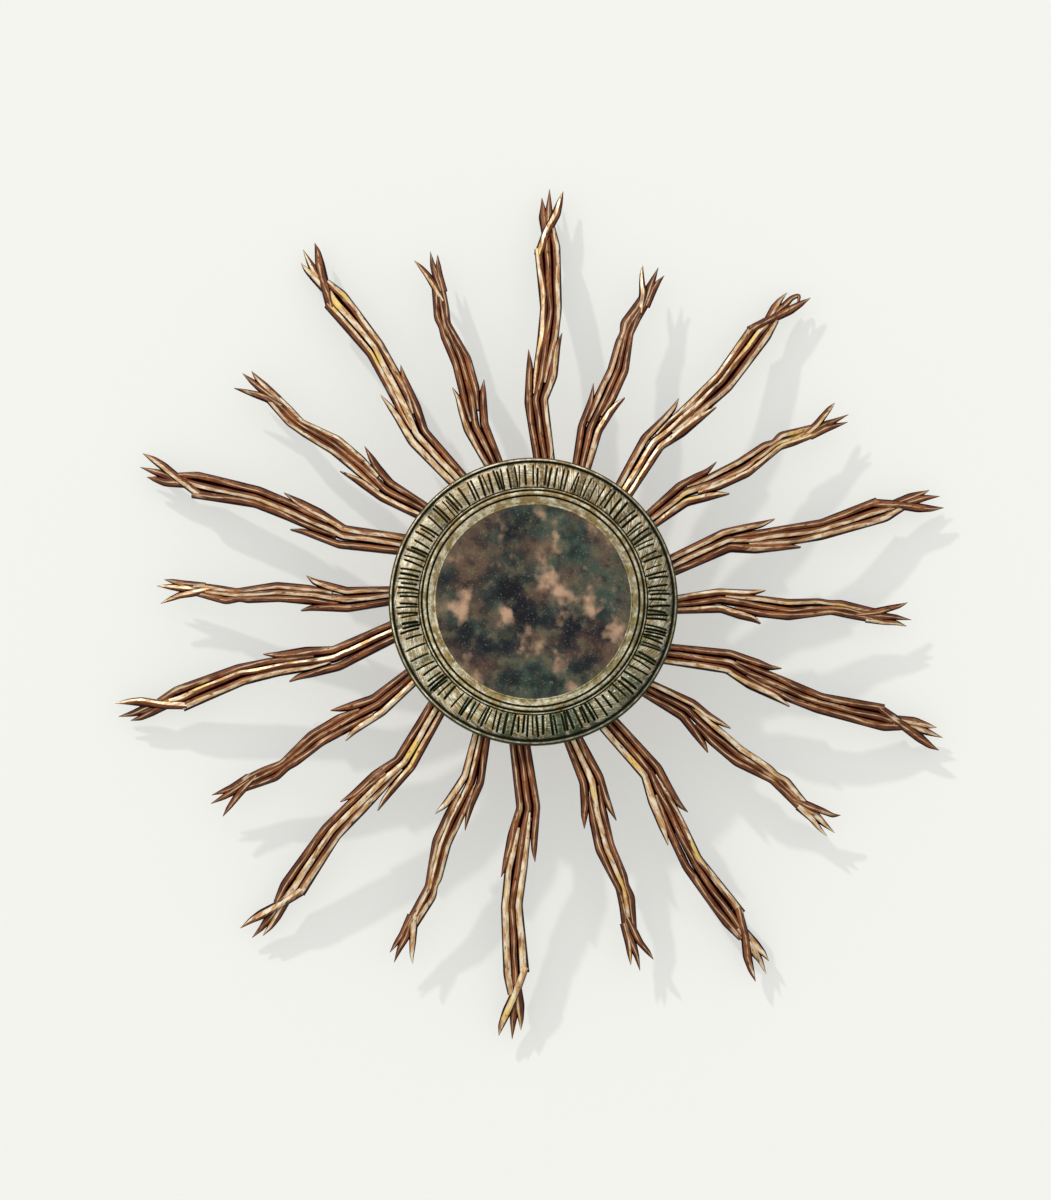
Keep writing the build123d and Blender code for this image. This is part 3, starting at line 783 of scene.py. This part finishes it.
floor = -1150.0
floor_end = -3000.0
wall_top = 2200.0
wall_side = 2600.0
bend = 400.0
sweep = [(floor_end, floor), (-bend, floor)]
for angle in range(10, 90, 10):
    sweep.append((-bend + bend * sin(radians(angle)), floor + bend - bend * cos(radians(angle))))
sweep += [(1.0, floor + bend), (1.0, wall_top)]
studio = bpy.data.meshes.new("studio_wall")
studio.from_pydata(
    [(x / 1000, y / 1000, z / 1000) for y, z in sweep for x in (-wall_side, wall_side)],
    [],
    [(2 * n, 2 * n + 1, 2 * n + 3, 2 * n + 2) for n in range(len(sweep) - 1)],
)
studio.materials.append(wall.material)
backdrop = bpy.data.objects.new("studio_wall", studio)
bpy.context.collection.objects.link(backdrop)

air = Finish(bpy.data.worlds.new("studio_air"))
bpy.context.scene.world = air.material
seen = air.node("LightPath", {}, {}, "Is Camera Ray") + air.node("LightPath", {}, {}, "Is Glossy Ray")
seen = seen + air.node("LightPath", {}, {}, "Is Transmission Ray")
soft_light = air.node("Background", {}, {"Color": (0.97, 0.985, 1.0, 1.0), "Strength": 0.78})
white = air.node("Background", {}, {"Color": (1.0, 1.0, 1.0, 1.0), "Strength": 1.0})
either = air.node("MixShader", {}, {0: seen, 1: soft_light, 2: white})
air.node("OutputWorld", {}, {"Surface": either})

lamp = bpy.data.lights.new("upper_left_lamp", "SUN")
lamp.energy = 1.6
lamp.angle = radians(2.5)
lamp.color = (1.0, 0.97, 0.92)
lamp_holder = bpy.data.objects.new("upper_left_lamp", lamp)
lamp_holder.rotation_euler = Vector((1.04, 1.0, -1.47)).to_track_quat("-Z", "Y").to_euler()
bpy.context.collection.objects.link(lamp_holder)


# Camera: 3 m from the mirror, a little below it and looking up, as the photograph was taken.
middle_depth = 0.05
distance = 3.0
below = radians(5.8)
picture_height = 1200
millimetres_per_pixel = 1.115
aim = Vector((-0.0086, -middle_depth, 0.0054))
stand = Vector((0.0, -middle_depth - distance * cos(below), -distance * sin(below)))
camera_data = bpy.data.cameras.new("camera")
camera_data.sensor_fit = "VERTICAL"
camera_data.sensor_height = 36.0
camera_data.lens = camera_data.sensor_height * distance * 1000 / (picture_height * millimetres_per_pixel)
camera = bpy.data.objects.new("camera", camera_data)
camera.location = stand
camera.rotation_euler = (aim - stand).to_track_quat("-Z", "Y").to_euler()
bpy.context.collection.objects.link(camera)
bpy.context.scene.camera = camera
bpy.context.scene.view_settings.view_transform = "Standard"
